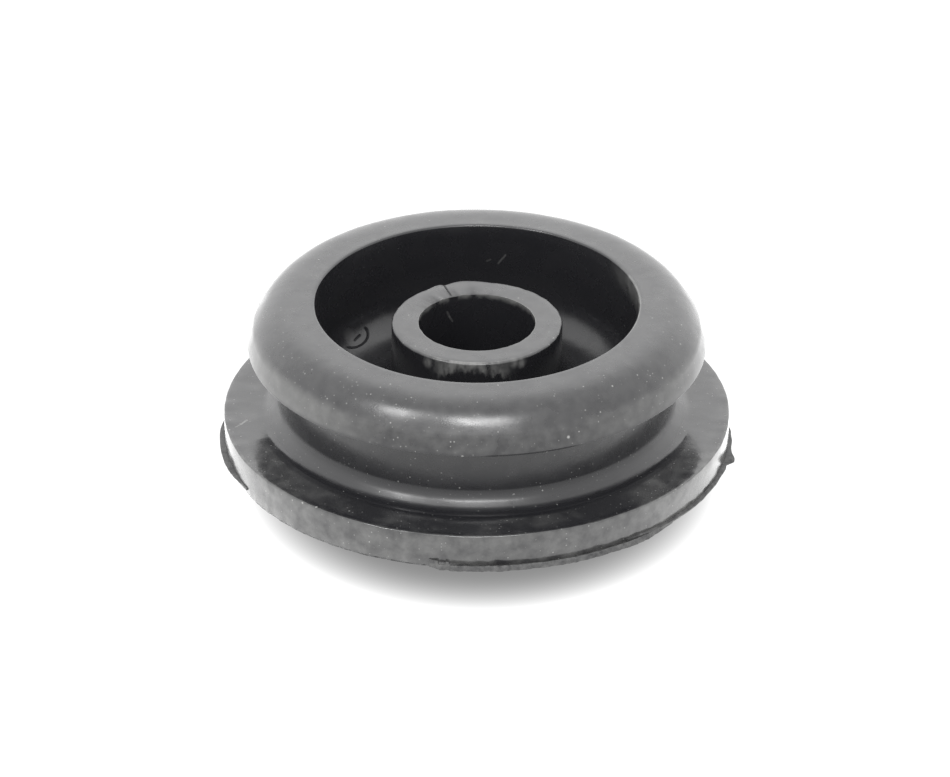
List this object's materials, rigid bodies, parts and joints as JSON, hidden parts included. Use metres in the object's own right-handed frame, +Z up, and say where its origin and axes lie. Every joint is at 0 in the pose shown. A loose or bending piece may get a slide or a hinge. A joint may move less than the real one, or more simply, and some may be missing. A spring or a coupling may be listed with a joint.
{
  "type": "radiator mount insert",
  "caption": "Round moulded rubber bush with a flange, a grooved neck and a bulging open head, and a central bore for a locating pin.",
  "frame": {"origin": "on the bore's axis, at the face of the foot", "axes": "+Z up along the bore, from the foot towards the open head; +X and +Y are across it, with the longest thread of flash just below +X"},
  "size_m": [0.053, 0.0524, 0.0163],
  "materials": {
    "rubber": "moulded, satin, with dust"
  },
  "bodies": {
    "root": {"mount_insert": "rubber"}
  },
  "joints": []
}
